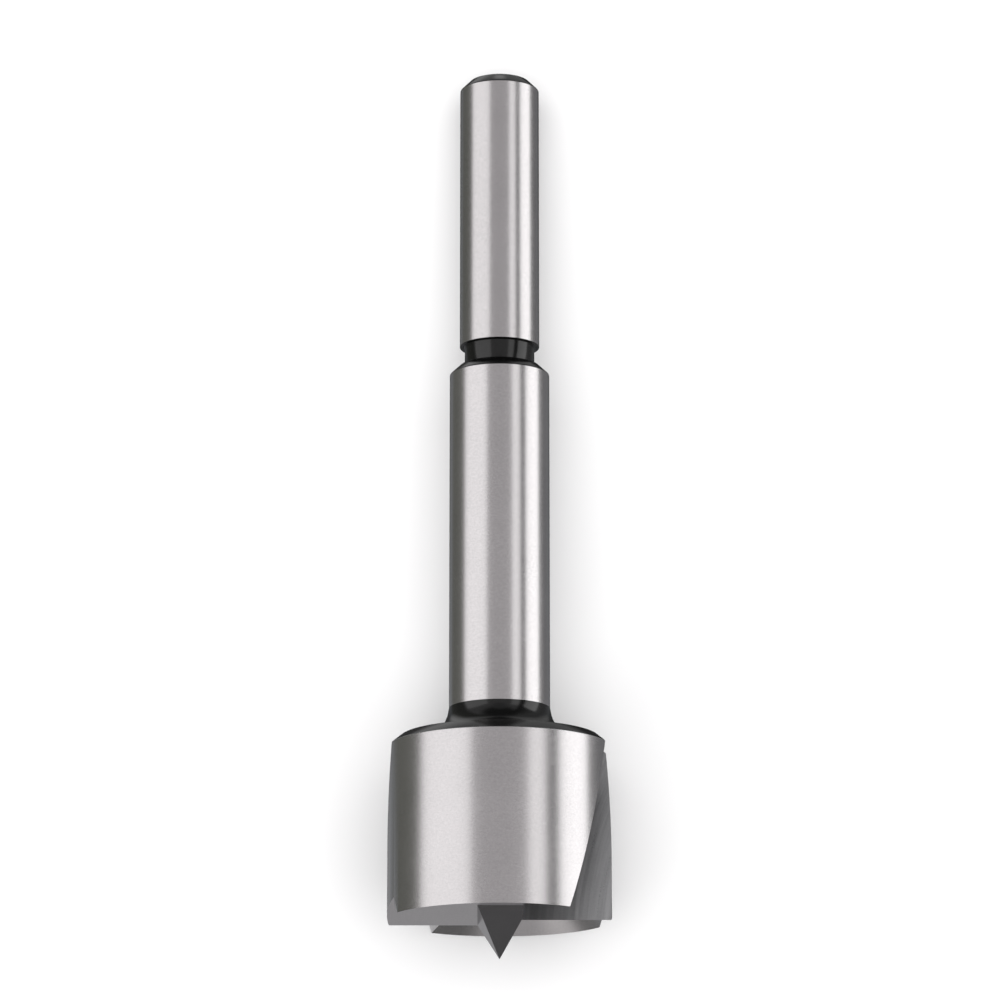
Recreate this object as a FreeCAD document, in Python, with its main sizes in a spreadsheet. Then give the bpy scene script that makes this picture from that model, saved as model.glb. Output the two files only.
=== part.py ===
import FreeCAD, Part
import os

import Sketcher

# Forstner bit, turned and ground from one bar of tool steel. Millimetres and degrees.
# It is drawn along Z: the knife edge of the rim lies at height 0, the shank points up,
# and two equal halves of the head face each other across the axis.
# Then it is laid down on the top edge of its head and the end of its shank.

NODE = "forstner_bit"

doc = FreeCAD.newDocument(NODE)

# Driving dimensions, one cell each.
dimensions = {
    # Turned blank, from the centre point up to the shank end.
    "point_length": 3.6,        # centre point below the cutting lips
    "lip_reach": 0.3,           # cutting lips below the rim's knife edge
    "head_diameter": 22.0,
    "head_height": 17.1,        # knife edge to the top edge of the head
    "head_chamfer_width": 1.1,
    "head_chamfer_height": 0.9,
    "neck_flare": 0.6,          # how much wider than the stem the neck ends, on the head
    "neck_height": 3.0,         # flat top of the head to the foot of the stem
    "neck_fillet": 3.0,         # radius between the neck and the flat top
    "stem_diameter": 10.0,
    "stem_length": 34.05,
    "stem_shoulder": 0.95,      # height of the cone from the stem in to the shank's diameter
    "groove_diameter": 7.0,
    "groove_width": 2.0,        # square-walled, right above that cone
    "shank_diameter": 8.0,
    "shank_length": 27.1,       # cylindrical part of the shank
    "shank_chamfer": 1.0,
    # Cutting lips and centre point.
    "web_thickness": 3.54,      # between the two lip edges, across the axis
    "point_width": 4.32,        # between the inner ends of the two lips
    "relief_angle": 18.0,       # flank behind each lip
    # Rim that scores the edge of the hole.
    "rim_bevel_angle": 44.0,    # inner bevel of the knife edge, from the axis
    "rim_bevel_height": 4.2,
    "rim_start_angle": 64.0,    # where the knife edge starts, from the middle of its wall
    "rim_end_angle": 52.0,      # where its bevel ends, inside the chip slot
    "rim_lead_angle": 11.0,     # lean of the ground start of the rim
    # Chip slots, each ground by the rim of a wheel that leans with the rake face.
    "rake_angle": 15.6,
    "slot_wheel_diameter": 100.0,
    "slot_wheel_drop": 4.0,     # wheel centre below the lip, along the rake face
    "slot_floor_offset": 2.23,  # axis to the slot floor, at the lip
    "slot_width": 6.1,          # across the floor
    "slot_flare_angle": 7.6,    # back wall against the rake face
    "tool_clearance": 3.0,      # how far the ground cuts run out past the head
}

sheet = doc.addObject("Spreadsheet::Sheet", "sizes")
for row, (alias, value) in enumerate(dimensions.items(), start=1):
    sheet.set(f"A{row}", alias)
    sheet.set(f"B{row}", str(value))
    sheet.setAlias(f"B{row}", alias)
doc.recompute()

# Lengths worked out from the driving dimensions, as formulas over the sheet.
head_radius = "sizes.head_diameter / 2"
stem_radius = "sizes.stem_diameter / 2"
groove_radius = "sizes.groove_diameter / 2"
shank_radius = "sizes.shank_diameter / 2"
half_web = "sizes.web_thickness / 2"
half_point = "sizes.point_width / 2"
cut_reach = f"({head_radius} + sizes.tool_clearance)"

lip_level = "(-sizes.lip_reach)"
tip_level = f"({lip_level} - sizes.point_length)"
cut_level = f"({tip_level} - sizes.tool_clearance)"
flat_level = "(sizes.head_height + sizes.head_chamfer_height)"
flat_radius = f"({head_radius} - sizes.head_chamfer_width)"
neck_radius = f"({stem_radius} + sizes.neck_flare)"
stem_foot = f"({flat_level} + sizes.neck_height)"
stem_top = f"({stem_foot} + sizes.stem_length)"
groove_low = f"({stem_top} + sizes.stem_shoulder)"
shank_level = f"({groove_low} + sizes.groove_width)"
shank_edge = f"({shank_level} + sizes.shank_length)"
shank_end = f"({shank_edge} + sizes.shank_chamfer)"
end_radius = f"({shank_radius} - sizes.shank_chamfer)"

body = doc.addObject("PartDesign::Body", NODE)
body.Label = NODE

# Places nearer than this are the same.
SAME_PLACE = 1e-4


def origin_feature(role):
    """The body's own base plane or axis with that role."""
    return next(feature for feature in body.Origin.OriginFeatures if feature.Role == role)


def outline(name, plane, corners, tilt_axis=None, tilt=None, shift=()):
    """A closed outline of straight lines, drawn on one of the body's base planes.

    Each corner is a pair of formulas, across and up. None keeps the value of the corner before,
    by a level or an upright line, and "0" puts the corner on the sketch's own axis. The plane
    can be tilted by a formula about one of its axes, and shifted by formulas along them.
    """
    sketch = body.newObject("Sketcher::SketchObject", name)
    sketch.AttachmentSupport = [(origin_feature(plane), "")]
    sketch.MapMode = "FlatFace"
    if tilt:
        sketch.AttachmentOffset = FreeCAD.Placement(
            FreeCAD.Vector(), FreeCAD.Rotation(tilt_axis, sketch.evalExpression(tilt))
        )
        sketch.setExpression("AttachmentOffset.Rotation.Angle", tilt)
    for direction, formula in shift:
        sketch.setExpression(f"AttachmentOffset.Base.{direction}", formula)

    points = []
    for across, up in corners:
        x = points[-1].x if across is None else float(sketch.evalExpression(across))
        y = points[-1].y if up is None else float(sketch.evalExpression(up))
        points.append(FreeCAD.Vector(x, y, 0))
    for index, point in enumerate(points):
        following = points[(index + 1) % len(points)]
        sketch.addGeometry(Part.LineSegment(point, following))
    for index in range(len(points)):
        before = (index - 1) % len(points)
        sketch.addConstraint(Sketcher.Constraint("Coincident", before, 2, index, 1))
    level_axis, upright_axis = -1, -2  # the sketch's own axes, as its constraints number them
    for index, (across, up) in enumerate(corners):
        hold(sketch, index, across, points[index].x, "DistanceX", "Vertical", upright_axis)
        hold(sketch, index, up, points[index].y, "DistanceY", "Horizontal", level_axis)
    return sketch


def hold(sketch, corner, formula, value, distance, line, axis):
    """Holds one coordinate of a corner: by a straight line, on an axis, or to a formula."""
    if formula is None:
        sketch.addConstraint(Sketcher.Constraint(line, corner - 1))
    elif formula == "0":
        sketch.addConstraint(Sketcher.Constraint("PointOnObject", corner, 1, axis))
    else:
        constraint = sketch.addConstraint(Sketcher.Constraint(distance, corner, 1, value))
        sketch.setExpression(f"Constraints[{constraint}]", formula)


def turned(kind, name, sketch, angle="360"):
    """The outline turned about its own upright axis: added as a Revolution, cut as a Groove."""
    feature = body.newObject(f"PartDesign::{kind}", name)
    feature.Profile = sketch
    feature.ReferenceAxis = (sketch, ["V_Axis"])
    feature.setExpression("Angle", angle)
    feature.Refine = True
    return feature


def cut_through(name, sketch):
    """The outline cut through the whole head, to both sides of its plane."""
    feature = body.newObject("PartDesign::Pocket", name)
    feature.Profile = sketch
    feature.SideType = "Two sides"
    feature.Type = "ThroughAll"
    feature.Type2 = "ThroughAll"
    feature.Refine = True
    return feature


def on_both_halves(name, originals):
    """The same features once more, half a turn round the axis."""
    pattern = body.newObject("PartDesign::PolarPattern", name)
    pattern.Originals = originals
    pattern.Axis = (origin_feature("Z_Axis"), [""])
    pattern.Angle = 360
    pattern.Occurrences = 2
    pattern.Refine = True
    body.Tip = pattern
    return pattern


# Turned blank: a boss for the centre point, the chamfered head, the flared neck, the stem,
# its cone, the groove, and the chamfered shank.
blank_outline = outline(
    "blank_outline",
    "XZ_Plane",
    [
        ("0", tip_level),
        (half_point + " + " + half_web, None),
        (None, lip_level),
        (head_radius, None),
        (None, "sizes.head_height"),
        (flat_radius, flat_level),
        (neck_radius, None),
        (stem_radius, stem_foot),
        (None, stem_top),
        (shank_radius, groove_low),
        (groove_radius, None),
        (None, shank_level),
        (shank_radius, None),
        (None, shank_edge),
        (end_radius, shank_end),
        ("0", None),
    ],
)
blank = turned("Revolution", "blank", blank_outline)
doc.recompute()


def circle_edges(shape, radius_formula, level_formula):
    """The names of a turned shape's circular edges of that radius at that height."""
    radius = float(sheet.evalExpression(radius_formula))
    level = float(sheet.evalExpression(level_formula))
    names = []
    for index, edge in enumerate(shape.Edges, start=1):
        if isinstance(edge.Curve, Part.Circle):
            off = abs(edge.Curve.Radius - radius) + abs(edge.Curve.Center.z - level)
            if off < SAME_PLACE:
                names.append(f"Edge{index}")
    return names


neck = body.newObject("PartDesign::Fillet", "neck")
neck.Base = (blank, circle_edges(blank.Shape, neck_radius, flat_level))
neck.setExpression(
    "Radius", f"min(sizes.neck_fillet; sizes.neck_height; {flat_radius} - {neck_radius})"
)

# Flank of each lip, and the side of the centre point that leans against it. Both follow one
# grinding direction, so the outline is drawn square to it.
flank_height = f"({lip_level} * cos(sizes.relief_angle) + {half_web} * sin(sizes.relief_angle))"
flank_outline = outline(
    "flank_outline",
    "XZ_Plane",
    [
        ("0", f"{tip_level} * cos(sizes.relief_angle)"),
        (f"-{half_point}", flank_height),
        (f"-{cut_reach}", None),
        (None, cut_level),
        ("0", None),
    ],
    tilt_axis=FreeCAD.Vector(1, 0, 0),
    tilt="-sizes.relief_angle",
)
flank = cut_through("flank", flank_outline)
flanks = on_both_halves("flanks", [flank])

# Front of the centre point, from its tip through the lip edge up to the same flank, which
# goes on from there under the wall of the head.
point_slope = f"({half_web} / sizes.point_length)"
relief = "tan(sizes.relief_angle)"
front_top = (
    f"(({lip_level} + {relief} * {half_web} - {relief} * {point_slope} * {tip_level})"
    f" / (1 - {relief} * {point_slope}))"
)
front_outline = outline(
    "front_outline",
    "YZ_Plane",
    [
        ("0", tip_level),
        (f"-{point_slope} * ({front_top} - {tip_level})", front_top),
        (f"-{cut_reach}", f"{lip_level} + {relief} * ({half_web} + {cut_reach})"),
        (None, cut_level),
        ("0", None),
    ],
)
front = cut_through("point_front", front_outline)
fronts = on_both_halves("point_fronts", [front])

# Rim under each wall: a knife edge on the head's own diameter, bevelled on the inside.
# Its start is ground away by the pass that clears the lip.
bevel_width = "sizes.rim_bevel_height * tan(sizes.rim_bevel_angle)"
rim_outline = outline(
    "rim_outline",
    "XZ_Plane",
    [
        (head_radius, "0"),
        (None, "sizes.rim_bevel_height"),
        (f"{head_radius} - {bevel_width}", None),
    ],
    tilt_axis=FreeCAD.Vector(0, 1, 0),
    tilt="-90 - sizes.rim_start_angle - sizes.rim_lead_angle",
)
rim_span = "sizes.rim_start_angle + sizes.rim_lead_angle + sizes.rim_end_angle"
rim = turned("Revolution", "rim", rim_outline, rim_span)

start_across = f"({head_radius} * sin(sizes.rim_start_angle))"
start_height = f"({head_radius} * cos(sizes.rim_start_angle) * sin(sizes.relief_angle))"
lead = "tan(sizes.rim_lead_angle)"
rim_start_outline = outline(
    "rim_start_outline",
    "XZ_Plane",
    [
        (f"-{start_across} - ({flank_height} + {start_height}) * {lead}", flank_height),
        (f"-{cut_reach}", None),
        (None, cut_level),
        (f"-{start_across} - ({cut_level} + {start_height}) * {lead}", None),
    ],
    tilt_axis=FreeCAD.Vector(1, 0, 0),
    tilt="-sizes.relief_angle",
)
rim_start = cut_through("rim_start", rim_start_outline)
rims = on_both_halves("rims", [rim, rim_start])

# Chip slot in front of each lip: the section of the wheel's rim, turned about the wheel's
# own axis. Its side face leaves the rake face, and its rim the long curve of the floor.
wheel_radius = "(sizes.slot_wheel_diameter / 2)"
wheel_centre = (
    f"(sizes.slot_floor_offset + sqrt({wheel_radius} * {wheel_radius}"
    " - sizes.slot_wheel_drop * sizes.slot_wheel_drop))"
)
wheel_depth = f"({wheel_radius} - {wheel_centre} + {cut_reach})"
slot_outline = outline(
    "slot_outline",
    "XY_Plane",
    [
        (f"-{wheel_radius}", "0"),
        (None, "-sizes.slot_width"),
        (f"{wheel_depth} - {wheel_radius}",
         f"-sizes.slot_width - {wheel_depth} * tan(sizes.slot_flare_angle)"),
        (None, "0"),
    ],
    tilt_axis=FreeCAD.Vector(1, 0, 0),
    tilt="-sizes.rake_angle",
    shift=[
        ("x", wheel_centre),
        ("y", f"-{half_web} - sizes.slot_wheel_drop * sin(sizes.rake_angle)"),
        ("z", f"{lip_level} - sizes.slot_wheel_drop * cos(sizes.rake_angle)"),
    ],
)
slot = turned("Groove", "slot", slot_outline)
slots = on_both_halves("slots", [slot])

# It lies on the top edge of its head and the end of its shank, the shank towards +Y, over
# the middle of the ground it covers.
rest_angle = f"atan(({head_radius} - {shank_radius}) / ({shank_edge} - sizes.head_height))"
near_end = f"({tip_level} * cos({rest_angle}))"
far_end = f"({shank_end} * cos({rest_angle}) + {end_radius} * sin({rest_angle}))"
body.Placement.Rotation = FreeCAD.Rotation(FreeCAD.Vector(-1, 0, 0), 90)
body.setExpression("Placement.Rotation.Angle", f"90 deg + {rest_angle}")
body.setExpression("Placement.Base.y", f"-({near_end} + {far_end}) / 2")
body.setExpression(
    "Placement.Base.z",
    f"sizes.head_height * sin({rest_angle}) + {head_radius} * cos({rest_angle})",
)
doc.recompute()

for item in doc.Objects:
    if "Invalid" in item.State or "Error" in item.State:
        raise RuntimeError(f"{item.Label} failed: {item.State}")

# Each step has to change the volume the way it is meant to.
added, removed = 1, -1
steps = [
    (neck, blank, added),
    (flank, neck, removed),
    (flanks, flank, removed),
    (front, flanks, removed),
    (fronts, front, removed),
    (rim, fronts, added),
    (rim_start, rim, removed),
    (rims, rim_start, added),
    (slot, rims, removed),
    (slots, slot, removed),
]
for feature, before, sign in steps:
    if sign * (feature.Shape.Volume - before.Shape.Volume) <= 0:
        raise RuntimeError(f"{feature.Label} doesn't shape the bit as it should")

if body.Shape.isNull() or not body.Shape.isValid() or len(body.Shape.Solids) != 1:
    raise RuntimeError(f"{body.Label} isn't one sound solid")

os.makedirs("parts", exist_ok=True)
body.Shape.exportStep(f"parts/{body.Label}.step")
print(f"{body.Label}: {body.Shape.Volume:.1f} cubic mm")
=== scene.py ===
import math

import bpy
from mathutils import Matrix, Vector


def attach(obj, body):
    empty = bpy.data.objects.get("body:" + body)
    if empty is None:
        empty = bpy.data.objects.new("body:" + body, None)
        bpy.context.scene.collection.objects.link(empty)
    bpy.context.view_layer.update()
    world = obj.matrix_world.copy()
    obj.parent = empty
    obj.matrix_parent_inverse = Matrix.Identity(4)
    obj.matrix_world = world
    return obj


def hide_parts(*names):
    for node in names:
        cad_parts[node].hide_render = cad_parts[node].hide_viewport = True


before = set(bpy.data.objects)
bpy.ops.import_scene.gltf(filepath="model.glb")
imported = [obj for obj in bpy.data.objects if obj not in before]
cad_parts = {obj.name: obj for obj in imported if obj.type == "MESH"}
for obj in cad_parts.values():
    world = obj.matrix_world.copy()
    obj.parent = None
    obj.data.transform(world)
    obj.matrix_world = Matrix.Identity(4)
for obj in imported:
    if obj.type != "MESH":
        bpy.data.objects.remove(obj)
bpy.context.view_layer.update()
print("frame loaded")

mm = 0.001
near = 0.01                     # in mm, and for the parts of a normal
sameSpot = 0.0005 * mm          # vertices nearer than this are merged

# the bit is modelled upright, its rim at height 0 and its shank up, then laid down
bit = {
    "segments": 360,            # one face per degree round the bit
    "headRadius": 11.0,
    "headHeight": 17.1,
    "headChamferWidth": 1.1,
    "headChamferHeight": 0.9,
    "neckFlare": 0.6,
    "neckHeight": 3.0,
    "neckSteps": 14,
    "stemRadius": 5.0,
    "stemLength": 34.05,
    "stemShoulder": 0.95,       # the cone in to the shank's radius, below the square groove
    "grooveRadius": 3.5,
    "grooveWidth": 2.0,
    "shankRadius": 4.0,
    "shankLength": 27.1,
    "shankChamfer": 1.0,
    "edgeRounding": 0.06,       # on every turned edge
    "edgeSteps": 3,
    "smoothAngle": 28.0,        # edges flatter than this are shaded smooth
    "pointLength": 3.6,
    "lipReach": 0.3,
    "webThickness": 3.54,
    "pointWidth": 4.32,
    "reliefAngle": 18.0,
    "rimBevelAngle": 44.0,
    "rimBevelHeight": 4.2,
    "rimStartAngle": 64.0,
    "rimEndAngle": 52.0,
    "rimLeadAngle": 11.0,
    "rakeAngle": 15.6,
    "slotWheelRadius": 50.0,
    "slotWheelDrop": 4.0,
    "slotFloorOffset": 2.23,
    "slotWidth": 6.1,
    "slotFlareAngle": 7.6,
    "wheelRise": 40.0,          # the stretch of the wheel's rim that is modelled
    "wheelFall": 10.0,
    "clearance": 3.0,           # how far each cutter runs out past the head
    "overlap": 1.0,             # how far what is kept runs out past its cutter
}

relief = math.radians(bit["reliefAngle"])
rake = math.radians(bit["rakeAngle"])
halfWeb = bit["webThickness"] / 2
halfPoint = bit["pointWidth"] / 2
lipLevel = -bit["lipReach"]
tipLevel = lipLevel - bit["pointLength"]
flatLevel = bit["headHeight"] + bit["headChamferHeight"]
flatRadius = bit["headRadius"] - bit["headChamferWidth"]
stemFoot = flatLevel + bit["neckHeight"]
stemTop = stemFoot + bit["stemLength"]
grooveLow = stemTop + bit["stemShoulder"]
shankLevel = grooveLow + bit["grooveWidth"]
shankEdge = shankLevel + bit["shankLength"]
shankEnd = shankEdge + bit["shankChamfer"]
endRadius = bit["shankRadius"] - bit["shankChamfer"]
reach = bit["headRadius"] + bit["clearance"]

# it lies on the top edge of its head and the end edge of its shank
restAngle = math.atan2(bit["headRadius"] - bit["shankRadius"], shankEdge - bit["headHeight"])
nearEnd = tipLevel * math.cos(restAngle)
farEnd = shankEnd * math.cos(restAngle) + endRadius * math.sin(restAngle)
restLevel = bit["headHeight"] * math.sin(restAngle) + bit["headRadius"] * math.cos(restAngle)
restPlace = Vector((0, -(nearEnd + farEnd) / 2, restLevel)) * mm
restTurn = -math.pi / 2 - restAngle

# directions that the grinding follows
flankNormal = Vector((0, math.sin(relief), math.cos(relief)))
pointRise = (lipLevel - tipLevel) * math.cos(relief) + halfWeb * math.sin(relief)
pointSideNormal = -pointRise * Vector((1, 0, 0)) - halfPoint * flankNormal
pointFrontNormal = Vector((0, -1, -halfWeb / bit["pointLength"]))


def startAlone(piece=None):
    bpy.ops.object.select_all(action="DESELECT")
    bpy.context.view_layer.objects.active = piece
    if piece:
        piece.select_set(True)


def nameIt(name):
    piece = bpy.context.object
    piece.name = name
    piece.data.name = name
    return piece


def applyPlace(piece):
    startAlone(piece)
    bpy.ops.object.transform_apply(location=True, rotation=True, scale=True)


def cleanSkin(piece):
    # merges doubles and turns the faces outwards
    startAlone(piece)
    bpy.ops.object.mode_set(mode="EDIT")
    bpy.ops.mesh.select_all(action="SELECT")
    bpy.ops.mesh.remove_doubles(threshold=sameSpot)
    bpy.ops.mesh.normals_make_consistent(inside=False)
    bpy.ops.object.mode_set(mode="OBJECT")


def shave(piece, point, normal):
    # cuts away the side that the normal points to, and closes the cut
    startAlone(piece)
    bpy.ops.object.mode_set(mode="EDIT")
    bpy.ops.mesh.select_all(action="SELECT")
    facing = Vector(normal).normalized()
    bpy.ops.mesh.bisect(plane_co=Vector(point) * mm, plane_no=facing, use_fill=True, clear_outer=True)
    bpy.ops.object.mode_set(mode="OBJECT")


def cutAway(piece, cutter):
    startAlone(piece)
    cut = piece.modifiers.new("cut", "BOOLEAN")
    cut.operation = "DIFFERENCE"
    cut.solver = "EXACT"
    cut.object = cutter
    bpy.ops.object.modifier_apply(modifier=cut.name)


def block(name, halfSide, bottom, top):
    startAlone()
    height = (top - bottom) * mm
    bpy.ops.mesh.primitive_cube_add(size=1, location=(0, 0, bottom * mm + height / 2))
    piece = nameIt(name)
    piece.scale = (2 * halfSide * mm, 2 * halfSide * mm, height)
    applyPlace(piece)
    return piece


def section(name, inner, outer, bottom, top):
    # a flat face across X and Z, to be spun
    startAlone()
    middle = Vector(((inner + outer) / 2, 0, (bottom + top) / 2)) * mm
    bpy.ops.mesh.primitive_plane_add(size=1, location=middle, rotation=(math.pi / 2, 0, 0))
    piece = nameIt(name)
    piece.scale = ((outer - inner) * mm, (top - bottom) * mm, 1)
    applyPlace(piece)
    return piece


def spinIt(piece, degrees):
    # one step per degree, anticlockwise seen from above; the operator itself turns clockwise
    startAlone(piece)
    bpy.ops.object.mode_set(mode="EDIT")
    bpy.ops.mesh.select_all(action="SELECT")
    bpy.ops.mesh.spin(steps=round(degrees), angle=-math.radians(degrees), center=(0, 0, 0), axis=(0, 0, 1))
    bpy.ops.object.mode_set(mode="OBJECT")
    cleanSkin(piece)


def halfTurnCopy(piece, name):
    startAlone(piece)
    bpy.ops.object.duplicate()
    twin = nameIt(name)
    twin.rotation_euler = (0, 0, math.pi)
    applyPlace(twin)
    return twin


def turnBlank():
    # rings from under the centre point up to the shank end, each a radius and a height
    neckRadius = bit["stemRadius"] + bit["neckFlare"]
    lean = math.atan2(bit["neckFlare"], bit["neckHeight"])
    sweep = math.pi / 2 - lean
    fillet = bit["neckHeight"]
    filletOut = neckRadius + fillet * math.tan(sweep / 2)
    turns = [sweep * step / bit["neckSteps"] for step in range(bit["neckSteps"] + 1)]
    rings = [(bit["headRadius"], bit["headHeight"]), (flatRadius, flatLevel)]
    rings += [
        (filletOut - fillet * math.sin(turn), flatLevel + fillet * (1 - math.cos(turn))) for turn in turns
    ]
    rings += [
        (bit["stemRadius"], stemFoot),
        (bit["stemRadius"], stemTop),
        (bit["shankRadius"], grooveLow),
        (bit["grooveRadius"], grooveLow),
        (bit["grooveRadius"], shankLevel),
        (bit["shankRadius"], shankLevel),
        (bit["shankRadius"], shankEdge),
        (endRadius, shankEnd),
    ]
    radius = bit["headRadius"]
    level = tipLevel - bit["overlap"]
    startAlone()
    bpy.ops.mesh.primitive_circle_add(
        vertices=bit["segments"], radius=radius * mm, fill_type="NGON", location=(0, 0, level * mm)
    )
    blank = nameIt("boringBit")
    applyPlace(blank)
    bpy.ops.object.mode_set(mode="EDIT")
    bpy.ops.mesh.select_all(action="SELECT")
    for nextRadius, nextLevel in rings:
        rise = (0, 0, (nextLevel - level) * mm)
        bpy.ops.mesh.extrude_region_move(TRANSFORM_OT_translate={"value": rise})
        narrower = nextRadius / radius
        bpy.ops.transform.resize(value=(narrower, narrower, 1), center_override=(0, 0, nextLevel * mm))
        radius, level = nextRadius, nextLevel

    # the turned edges are rounded, but not the fillet's own rings
    sharp = rings[:2] + rings[-7:]
    bpy.ops.mesh.select_all(action="DESELECT")
    bpy.ops.object.mode_set(mode="OBJECT")
    for vert in blank.data.vertices:
        out, up = math.hypot(vert.co.x, vert.co.y) / mm, vert.co.z / mm
        vert.select = any(abs(out - ring) + abs(up - height) < near for ring, height in sharp)
    bpy.ops.object.mode_set(mode="EDIT")
    bpy.ops.mesh.select_mode(type="VERT")
    bpy.ops.mesh.select_mode(type="EDGE")
    bpy.ops.mesh.bevel(offset=bit["edgeRounding"] * mm, segments=bit["edgeSteps"], affect="EDGES")
    bpy.ops.object.mode_set(mode="OBJECT")
    cleanSkin(blank)
    return blank


def buildHeadCutter():
    # everything below the flank, but for the centre point and the rim
    bottom = tipLevel - bit["clearance"]
    overlap = bit["overlap"]
    cutter = block("headCutter", reach, bottom, 2 * bit["rimBevelHeight"])
    shave(cutter, (0, halfWeb, lipLevel), flankNormal)

    keptPoint = block("keptPoint", reach + overlap, bottom - overlap, 3 * bit["rimBevelHeight"])
    shave(keptPoint, (0, 0, tipLevel), pointSideNormal)
    shave(keptPoint, (0, 0, tipLevel), pointFrontNormal)

    bevel = math.radians(bit["rimBevelAngle"])
    bevelIn = bit["headRadius"] - bit["rimBevelHeight"] * math.tan(bevel)
    rimTop = 2 * bit["rimBevelHeight"]
    keptRim = section("keptRim", bevelIn, reach + overlap, -bit["rimBevelHeight"], rimTop)
    shave(keptRim, (bit["headRadius"], 0, 0), (-math.cos(bevel), 0, -math.sin(bevel)))
    startAngle = bit["rimStartAngle"] + bit["rimLeadAngle"]
    keptRim.rotation_euler = (0, 0, math.radians(-90 - startAngle))
    applyPlace(keptRim)
    spinIt(keptRim, startAngle + bit["rimEndAngle"])
    start = math.radians(bit["rimStartAngle"])
    startPoint = (-bit["headRadius"] * math.sin(start), -bit["headRadius"] * math.cos(start), 0)
    startNormal = Vector((-1, 0, 0)) - math.tan(math.radians(bit["rimLeadAngle"])) * flankNormal
    shave(keptRim, startPoint, startNormal)

    cutAway(cutter, keptPoint)
    cutAway(cutter, keptRim)
    for helper in (keptPoint, keptRim):
        bpy.data.objects.remove(helper)
    return cutter


def buildSlotWheel():
    # the part of the grinding wheel's rim that passes through the head
    radius = bit["slotWheelRadius"]
    centre = bit["slotFloorOffset"] + math.sqrt(radius ** 2 - bit["slotWheelDrop"] ** 2)
    depth = radius - centre + reach
    flare = math.radians(bit["slotFlareAngle"])
    widest = bit["slotWidth"] + depth * math.tan(flare)
    wheel = section("slotWheel", radius - depth, radius, 0, widest)
    shave(wheel, (radius, 0, bit["slotWidth"]), (math.sin(flare), 0, math.cos(flare)))
    wheel.rotation_euler = (0, 0, math.radians(-bit["wheelRise"]))
    applyPlace(wheel)
    spinIt(wheel, bit["wheelRise"] + bit["wheelFall"])
    wheel.rotation_euler = (rake - math.pi / 2, 0, math.pi)
    wheel.location = Vector(
        (
            centre,
            -halfWeb - bit["slotWheelDrop"] * math.sin(rake),
            lipLevel - bit["slotWheelDrop"] * math.cos(rake),
        )
    ) * mm
    applyPlace(wheel)
    return wheel


# which finish each face carries, in the order of the material slots
finishes = ["groundSteel", "blackOxide", "flankGrind", "slotGrind", "pointGrind", "rimGrind"]

# how a face is told: its place in millimetres and how far it faces up or down
tellTale = {
    "topUp": 0.5,               # the chamfer and the neck face up at least so much
    "wallDepth": 0.02,          # the wall lies within this of the head's radius
    "flankMatch": -0.999,
    "pointDown": -0.3,
    "bevelDown": -0.6,
}


def finishOf(face):
    # told from the face's own place and direction, while the bit is upright
    out = math.hypot(face.center.x, face.center.y) / mm
    up = face.center.z / mm
    side = 1 if face.normal.y < 0 else -1
    facing = Vector((side * face.normal.x, side * face.normal.y, face.normal.z))
    outward = facing.x * side * face.center.x + facing.y * side * face.center.y
    straight = abs(face.normal.z) < near
    if up > flatLevel - near or (up > bit["headHeight"] and facing.z > tellTale["topUp"]):
        onStem = straight and stemFoot < up < stemTop
        onShank = straight and shankLevel < up < shankEdge
        return "groundSteel" if onStem or onShank else "blackOxide"
    if straight and out > bit["headRadius"] - tellTale["wallDepth"]:
        return "groundSteel"
    if facing.dot(flankNormal) < tellTale["flankMatch"]:
        return "flankGrind"
    if out < bit["pointWidth"] and up < bit["rimBevelHeight"] and facing.z < tellTale["pointDown"]:
        return "pointGrind"
    if facing.z < tellTale["bevelDown"] and outward < 0:
        return "rimGrind"
    return "slotGrind"


def markFinishes(piece):
    for name in finishes:
        piece.data.materials.append(bpy.data.materials.new(name))
    for face in piece.data.polygons:
        face.material_index = finishes.index(finishOf(face))


def layDown(piece):
    piece.rotation_euler = (restTurn, 0, 0)
    piece.location = restPlace
    applyPlace(piece)


def smoothIt(piece):
    # shading follows the wide faces, so the small roundings don't bend it
    startAlone(piece)
    bpy.ops.object.shade_smooth_by_angle(angle=math.radians(bit["smoothAngle"]))
    even = piece.modifiers.new("even", "WEIGHTED_NORMAL")
    even.keep_sharp = True
    bpy.ops.object.modifier_apply(modifier=even.name)


boringBit = turnBlank()
print("blank turned")

headCutter = buildHeadCutter()
slotWheel = buildSlotWheel()
cutters = [headCutter, halfTurnCopy(headCutter, "farHeadCutter")]
cutters += [slotWheel, halfTurnCopy(slotWheel, "farSlotWheel")]
for cutter in cutters:
    cutAway(boringBit, cutter)
    bpy.data.objects.remove(cutter)
cleanSkin(boringBit)
print("head cut")

markFinishes(boringBit)
layDown(boringBit)
smoothIt(boringBit)
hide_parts("forstner_bit")
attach(boringBit, "root")
print("bit laid down")


# finishes
def addNode(tree, kind, **values):
    # values go to the inputs of that name, with _ for a space, or else to the node itself
    node = tree.nodes.new(kind)
    for name, value in values.items():
        socket = name.replace("_", " ")
        if socket in node.inputs:
            node.inputs[socket].default_value = value
        else:
            setattr(node, name, value)
    return node


# the grain's waves, each scale in turns per millimetre, and how they mix about a middle value
grainLook = {
    "harshness": 0.6,
    "lineDetail": 4.0,
    "speckScale": 5.5,
    "slowScale": 0.18,
    "broadDetail": 2.0,
    "alongArc": 0.03,           # how slowly a slot's lines change along the wheel's arc
    "bumpDepth": 0.02,          # mm
    "mixes": {
        "Height": {"middle": 0.5, "lines": 1.0, "specks": 0.15},
        "Tone": {"middle": 1.0, "lines": 0.35, "specks": 0.55, "slow": 0.1},
        "Roughness": {"middle": 1.0, "lines": 0.5, "specks": 0.3, "slow": 0.15},
    },
}


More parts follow.
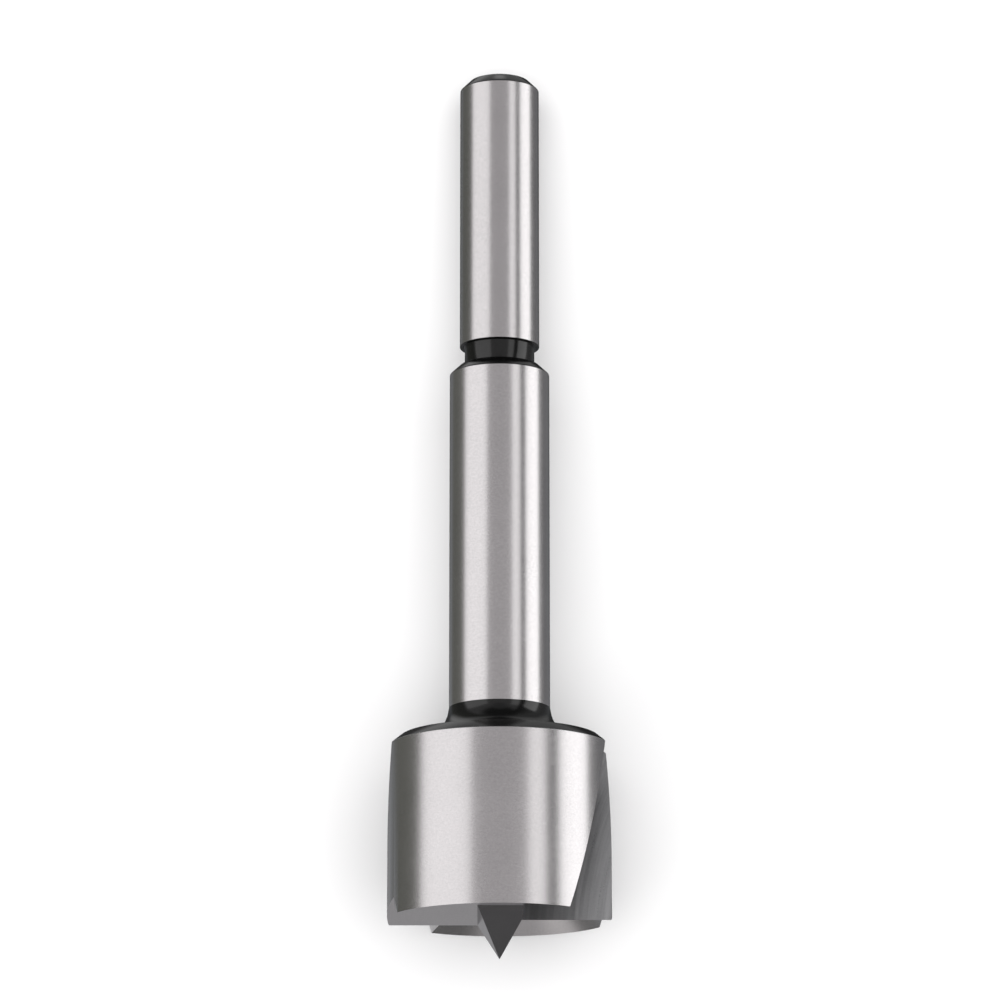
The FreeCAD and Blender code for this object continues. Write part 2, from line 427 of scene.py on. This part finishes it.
def buildGrainGroup():
    # fine grinding lines along the stretched place, specks, and slow tone, all in millimetres
    group = bpy.data.node_groups.new("grindGrain", "ShaderNodeTree")
    links = group.links
    for name in ("Place", "Lines"):
        group.interface.new_socket(name=name, in_out="INPUT", socket_type="NodeSocketVector")
    for name in ("Fineness", "Contrast", "Specks"):
        group.interface.new_socket(name=name, in_out="INPUT", socket_type="NodeSocketFloat")
    for name in ("Height", "Tone", "Roughness"):
        group.interface.new_socket(name=name, in_out="OUTPUT", socket_type="NodeSocketFloat")
    inside = group.nodes.new("NodeGroupInput")
    outside = group.nodes.new("NodeGroupOutput")

    def wave(place, scale, detail, amount):
        # noise about zero, times its amount
        noise = addNode(
            group, "ShaderNodeTexNoise", Detail=detail, Roughness=grainLook["harshness"]
        )
        links.new(inside.outputs[place], noise.inputs["Vector"])
        centred = addNode(group, "ShaderNodeMath", operation="SUBTRACT")
        links.new(noise.outputs["Fac"], centred.inputs[0])
        centred.inputs[1].default_value = 0.5
        scaled = addNode(group, "ShaderNodeMath", operation="MULTIPLY")
        links.new(centred.outputs[0], scaled.inputs[0])
        for value, socket in ((scale, noise.inputs["Scale"]), (amount, scaled.inputs[1])):
            if isinstance(value, str):
                links.new(inside.outputs[value], socket)
            else:
                socket.default_value = value
        return scaled.outputs[0]

    broad = grainLook["broadDetail"]
    waves = {
        "lines": wave("Lines", "Fineness", grainLook["lineDetail"], "Contrast"),
        "specks": wave("Place", grainLook["speckScale"], broad, "Specks"),
        "slow": wave("Place", grainLook["slowScale"], broad, 1.0),
    }
    for output, mix in grainLook["mixes"].items():
        added = None
        for name in [name for name in waves if name in mix]:
            step = addNode(group, "ShaderNodeMath", operation="MULTIPLY_ADD")
            links.new(waves[name], step.inputs[0])
            step.inputs[1].default_value = mix[name]
            if added:
                links.new(added, step.inputs[2])
            else:
                step.inputs[2].default_value = mix["middle"]
            added = step.outputs[0]
        links.new(added, outside.inputs[output])
    return group


def bitPlace(tree):
    # places on the bit in millimetres, its axis along Z and its rim at 0
    coordinates = tree.nodes.new("ShaderNodeTexCoord")
    upright = tree.nodes.new("ShaderNodeMapping")
    back = Matrix.Rotation(-restTurn, 3, "X")
    upright.inputs["Scale"].default_value = (1 / mm, 1 / mm, 1 / mm)
    upright.inputs["Rotation"].default_value = (-restTurn, 0, 0)
    upright.inputs["Location"].default_value = back @ (-restPlace / mm)
    tree.links.new(coordinates.outputs["Object"], upright.inputs["Vector"])
    return upright.outputs["Vector"]


def stretched(tree, place, stretch):
    node = addNode(tree, "ShaderNodeVectorMath", operation="MULTIPLY")
    tree.links.new(place, node.inputs[0])
    node.inputs[1].default_value = stretch
    return node.outputs[0]


def alongWheel(tree, place):
    # distance from the wheel's centre, so that the lines follow its arcs in both slots
    centre = bit["slotFloorOffset"] + bit["slotWheelRadius"]
    apart = tree.nodes.new("ShaderNodeSeparateXYZ")
    tree.links.new(place, apart.inputs[0])
    out = addNode(tree, "ShaderNodeMath", operation="ABSOLUTE")
    tree.links.new(apart.outputs["X"], out.inputs[0])
    across = addNode(tree, "ShaderNodeMath", operation="SUBTRACT")
    tree.links.new(out.outputs[0], across.inputs[0])
    across.inputs[1].default_value = centre
    up = addNode(tree, "ShaderNodeMath", operation="ADD")
    tree.links.new(apart.outputs["Z"], up.inputs[0])
    up.inputs[1].default_value = bit["slotWheelDrop"]
    flat = tree.nodes.new("ShaderNodeCombineXYZ")
    tree.links.new(across.outputs[0], flat.inputs["X"])
    tree.links.new(up.outputs[0], flat.inputs["Z"])
    radius = addNode(tree, "ShaderNodeVectorMath", operation="LENGTH")
    tree.links.new(flat.outputs[0], radius.inputs[0])
    lines = tree.nodes.new("ShaderNodeCombineXYZ")
    tree.links.new(radius.outputs["Value"], lines.inputs["X"])
    slow = addNode(tree, "ShaderNodeMath", operation="MULTIPLY")
    tree.links.new(up.outputs[0], slow.inputs[0])
    slow.inputs[1].default_value = grainLook["alongArc"]
    tree.links.new(slow.outputs[0], lines.inputs["Y"])
    return lines.outputs[0]


def brighterOutwards(tree, place, paintedShade, tone):
    # painted shade: the slot's tone is made darker inwards and up the slot, where the near wall shades it
    # and it mirrors the wall's dark back, and is brightest at the lip's outer end
    flat = stretched(tree, place, (1, 1, 0))
    radius = addNode(tree, "ShaderNodeVectorMath", operation="LENGTH")
    tree.links.new(flat, radius.inputs[0])
    apart = tree.nodes.new("ShaderNodeSeparateXYZ")
    tree.links.new(place, apart.inputs[0])
    towardsLip = addNode(tree, "ShaderNodeMath", operation="MULTIPLY_ADD")
    tree.links.new(apart.outputs["Z"], towardsLip.inputs[0])
    towardsLip.inputs[1].default_value = paintedShade["fade"]
    tree.links.new(radius.outputs["Value"], towardsLip.inputs[2])
    share = addNode(
        tree, "ShaderNodeMapRange", From_Min=paintedShade["from"], From_Max=paintedShade["to"],
        To_Min=paintedShade["dull"], To_Max=paintedShade["bright"],
    )
    tree.links.new(towardsLip.outputs[0], share.inputs["Value"])
    product = addNode(tree, "ShaderNodeMath", operation="MULTIPLY")
    tree.links.new(share.outputs["Result"], product.inputs[0])
    tree.links.new(tone, product.inputs[1])
    return product.outputs[0]


def finishSteel(name, look, grain):
    # colour, metal and roughness from the dictionary, varied by the grain
    material = bpy.data.materials[name]
    material.use_nodes = True
    tree = material.node_tree
    shader = tree.nodes["Principled BSDF"]
    shader.inputs["Metallic"].default_value = look["metal"]
    shader.inputs["Specular IOR Level"].default_value = look["specular"]
    place = bitPlace(tree)
    if look["stretch"]:
        lines = stretched(tree, place, look["stretch"])
    else:
        lines = alongWheel(tree, place)
    effect = tree.nodes.new("ShaderNodeGroup")
    effect.node_tree = grain
    effect.inputs["Fineness"].default_value = look["fineness"]
    effect.inputs["Contrast"].default_value = look["contrast"]
    effect.inputs["Specks"].default_value = look["specks"]
    tree.links.new(place, effect.inputs["Place"])
    tree.links.new(lines, effect.inputs["Lines"])
    colour = addNode(tree, "ShaderNodeVectorMath", operation="SCALE")
    colour.inputs[0].default_value = look["colour"]
    tone = effect.outputs["Tone"]
    # painted shade on the slot's faces: their tone is scaled down inwards and up the slot
    if "paintedShade" in look:
        tone = brighterOutwards(tree, place, look["paintedShade"], tone)
    tree.links.new(tone, colour.inputs["Scale"])
    tree.links.new(colour.outputs[0], shader.inputs["Base Color"])
    rough = addNode(tree, "ShaderNodeMath", operation="MULTIPLY")
    rough.inputs[1].default_value = look["roughness"]
    tree.links.new(effect.outputs["Roughness"], rough.inputs[0])
    tree.links.new(rough.outputs[0], shader.inputs["Roughness"])
    depth = grainLook["bumpDepth"] * mm
    bump = addNode(tree, "ShaderNodeBump", Strength=look["bump"], Distance=depth)
    tree.links.new(effect.outputs["Height"], bump.inputs["Height"])
    tree.links.new(bump.outputs["Normal"], shader.inputs["Normal"])


looks = {
    "groundSteel": {
        "colour": (0.665, 0.645, 0.65), "metal": 1.0, "specular": 0.5, "roughness": 0.25,
        "stretch": (1.4, 1.4, 5.0), "fineness": 1.6, "contrast": 0.5, "specks": 0.4, "bump": 0.1,
    },
    "blackOxide": {
        "colour": (0.003, 0.003, 0.003), "metal": 0.0, "specular": 0.6, "roughness": 0.16,
        "stretch": (0.8, 0.8, 4.0), "fineness": 1.5, "contrast": 0.3, "specks": 0.3, "bump": 0.06,
    },
    "flankGrind": {
        "colour": (0.62, 0.61, 0.62), "metal": 1.0, "specular": 0.5, "roughness": 0.3,
        "stretch": (5.0, 0.4, 0.4), "fineness": 1.4, "contrast": 0.3, "specks": 0.3, "bump": 0.15,
    },
    "slotGrind": {
        "colour": (0.52, 0.52, 0.525), "metal": 1.0, "specular": 0.5, "roughness": 0.32,
        "stretch": None, "fineness": 2.2, "contrast": 1.8, "specks": 0.3, "bump": 0.2,
        # painted shade: the slot's tone falls from bright at the lip's outer end to dull inwards and up
        # the slot
        "paintedShade": {"from": 4.0, "to": 9.5, "dull": 0.75, "bright": 1.5, "fade": -0.26},
    },
    "pointGrind": {
        "colour": (0.44, 0.43, 0.44), "metal": 1.0, "specular": 0.5, "roughness": 0.2,
        "stretch": (0.4, 5.0, 0.4), "fineness": 1.2, "contrast": 0.2, "specks": 0.05, "bump": 0.04,
    },
    "rimGrind": {
        "colour": (0.64, 0.62, 0.62), "metal": 1.0, "specular": 0.5, "roughness": 0.24,
        "stretch": (4.0, 4.0, 0.4), "fineness": 1.4, "contrast": 0.5, "specks": 0.3, "bump": 0.2,
    },
}
grain = buildGrainGroup()
for name, look in looks.items():
    finishSteel(name, look, grain)
print("finishes made")

# camera, looking down on the bit as the photograph does
camera = {
    "place": (0, -0.062306, 0.461196),
    "tilt": 7.955,              # from straight down
    "lens": 164.72,
    "film": 36,
    "shift": 0.00047,
}
cameraData = bpy.data.cameras.new("camera")
cameraObject = bpy.data.objects.new("camera", cameraData)
bpy.context.scene.collection.objects.link(cameraObject)
cameraObject.location = camera["place"]
cameraObject.rotation_euler = (math.radians(camera["tilt"]), 0, 0)
cameraData.lens = camera["lens"]
cameraData.sensor_width = camera["film"]
cameraData.shift_x = camera["shift"]
bpy.context.scene.camera = cameraObject
bpy.context.scene.view_settings.view_transform = "Standard"

# softboxes along the bit: an angle from straight up and a span round the bit, both in degrees
studio = {
    "distance": 0.8,
    "length": 1.3,
    "left": {"angle": -58.8, "span": 58.5, "glow": 0.71},
    "strip": {"angle": 40.0, "span": 20.0, "glow": 0.74},
    "right": {"angle": 83.3, "span": 38.5, "glow": 1.38},
    "overheadPower": 19.0,
    "overheadSize": 1.6,
    "overheadHeight": 1.4,
    "backdrop": (0.97, 0.97, 0.97),
}


def addPanel(name, box):
    # a soft panel whose brightness doesn't depend on its size
    turn = math.radians(box["angle"])
    light = bpy.data.lights.new(name, "AREA")
    light.shape = "RECTANGLE"
    light.size = 2 * studio["distance"] * math.tan(math.radians(box["span"] / 2))
    light.size_y = studio["length"]
    light.energy = box["glow"] * math.pi * light.size * light.size_y
    panel = bpy.data.objects.new(name, light)
    bpy.context.scene.collection.objects.link(panel)
    panel.location = (
        studio["distance"] * math.sin(turn), 0, studio["distance"] * math.cos(turn) + restPlace.z
    )
    panel.rotation_euler = (0, turn, 0)
    panel.visible_camera = False
    return panel


for name in ("left", "strip", "right"):
    addPanel(name + "Softbox", studio[name])

# the overhead light is for the floor alone: steel doesn't mirror it
overheadLight = bpy.data.lights.new("overhead", "AREA")
overheadLight.size = studio["overheadSize"]
overheadLight.energy = studio["overheadPower"]
overhead = bpy.data.objects.new("overhead", overheadLight)
bpy.context.scene.collection.objects.link(overhead)
overhead.location = (0, 0, studio["overheadHeight"])
overhead.visible_glossy = False
overhead.visible_camera = False


# what the steel mirrors beside the softboxes: tones round the bit, in degrees from straight up,
# and then soft patches of the room, each by its direction and half its width in degrees
room = {
    "round": [
        (-180, (0.21, 0.22, 0.23)), (-142, (0.2, 0.21, 0.22)), (-137, (0.12, 0.123, 0.11)),
        (-96, (0.13, 0.133, 0.12)), (-86, (0.44, 0.43, 0.435)), (48, (0.45, 0.44, 0.445)),
        (52, (0.05, 0.05, 0.05)), (63, (0.05, 0.05, 0.05)), (104, (0.3, 0.3, 0.3)),
        (125, (0.17, 0.17, 0.175)), (180, (0.21, 0.22, 0.23)),
    ],
    "patches": [
        {"towards": (0, 0.95, 0.3), "reach": 24, "soft": 8, "tone": (0.05, 0.05, 0.05)},
        {"towards": (0, 0.72, 0.69), "reach": 9, "soft": 8, "tone": (0.27, 0.27, 0.275)},
        {"towards": (0, 0.8, -0.6), "reach": 30, "soft": 5, "tone": (0.5, 0.5, 0.5)},
        {"towards": (0, 0.918, -0.396), "reach": 5, "soft": 3, "tone": (1.45, 1.45, 1.45)},
        {"towards": (-0.37, 0.64, -0.68), "reach": 14, "soft": 8, "tone": (0.8, 0.8, 0.8)},
        {"towards": (0.37, 0.64, -0.68), "reach": 14, "soft": 8, "tone": (0.4, 0.4, 0.4)},
        {"towards": (-0.2, 0.37, -0.9), "reach": 14, "soft": 8, "tone": (0.07, 0.07, 0.07)},
        {"towards": (0.2, 0.37, -0.9), "reach": 14, "soft": 8, "tone": (0.04, 0.04, 0.04)},
        {"towards": (0, -1, -0.35), "reach": 42, "soft": 10, "tone": (0.38, 0.375, 0.38)},
        {"towards": (0, -0.61, 0.79), "reach": 12, "soft": 5, "tone": (0.085, 0.085, 0.085)},
        {"towards": (-0.38, -0.14, -0.92), "reach": 10, "soft": 6, "tone": (0.42, 0.42, 0.43)},
        {"towards": (0.6, -0.85, 0.1), "reach": 22, "soft": 8, "tone": (0.13, 0.13, 0.13)},
        {"towards": (-0.6, -0.79, -0.1), "reach": 12, "soft": 8, "tone": (0.62, 0.61, 0.61)},
        {"towards": (-0.62, -0.6, -0.5), "reach": 12, "soft": 8, "tone": (0.17, 0.17, 0.17)},
    ],
}


def buildRoom():
    world = bpy.data.worlds.new("room")
    bpy.context.scene.world = world
    world.use_nodes = True
    tree = world.node_tree
    links = tree.links
    direction = tree.nodes.new("ShaderNodeTexCoord").outputs["Generated"]
    apart = tree.nodes.new("ShaderNodeSeparateXYZ")
    links.new(direction, apart.inputs[0])
    turn = addNode(tree, "ShaderNodeMath", operation="ARCTAN2")
    links.new(apart.outputs["X"], turn.inputs[0])
    links.new(apart.outputs["Z"], turn.inputs[1])
    spread = addNode(tree, "ShaderNodeMapRange", From_Min=-math.pi, From_Max=math.pi)
    links.new(turn.outputs[0], spread.inputs["Value"])
    ramp = tree.nodes.new("ShaderNodeValToRGB")
    links.new(spread.outputs["Result"], ramp.inputs["Fac"])
    stops = ramp.color_ramp.elements
    stops[0].color = (*room["round"][0][1], 1)
    stops[1].color = (*room["round"][-1][1], 1)
    for degrees, tone in room["round"][1:-1]:
        stops.new((degrees + 180) / 360).color = (*tone, 1)

    seen = ramp.outputs["Color"]
    for patch in room["patches"]:
        nearness = addNode(tree, "ShaderNodeVectorMath", operation="DOT_PRODUCT")
        links.new(direction, nearness.inputs[0])
        nearness.inputs[1].default_value = Vector(patch["towards"]).normalized()
        share = addNode(
            tree, "ShaderNodeMapRange", interpolation_type="SMOOTHSTEP",
            From_Min=math.cos(math.radians(patch["reach"] + patch["soft"])),
            From_Max=math.cos(math.radians(patch["reach"] - patch["soft"])),
        )
        links.new(nearness.outputs["Value"], share.inputs["Value"])
        mixed = addNode(tree, "ShaderNodeMixRGB", Color2=(*patch["tone"], 1))
        links.new(share.outputs["Result"], mixed.inputs["Fac"])
        links.new(seen, mixed.inputs["Color1"])
        seen = mixed.outputs["Color"]

    # the camera itself sees the pale backdrop beyond the floor
    ray = tree.nodes.new("ShaderNodeLightPath")
    shown = addNode(tree, "ShaderNodeMixRGB", Color2=(*studio["backdrop"], 1))
    links.new(ray.outputs["Is Camera Ray"], shown.inputs["Fac"])
    links.new(seen, shown.inputs["Color1"])
    links.new(shown.outputs["Color"], tree.nodes["Background"].inputs["Color"])


buildRoom()

# pale floor, which the steel doesn't mirror
floorLook = {
    "size": 6,
    "paint": {"Base Color": (0.9, 0.9, 0.9, 1), "Roughness": 0.9, "Specular IOR Level": 0.0},
}
startAlone()
bpy.ops.mesh.primitive_plane_add(size=floorLook["size"], location=(0, 0, 0))
floor = nameIt("floor")
floor.visible_glossy = False
floorPaint = bpy.data.materials.new("floorPaint")
floorPaint.use_nodes = True
for socket, value in floorLook["paint"].items():
    floorPaint.node_tree.nodes["Principled BSDF"].inputs[socket].default_value = value
floor.data.materials.append(floorPaint)
print("studio ready")
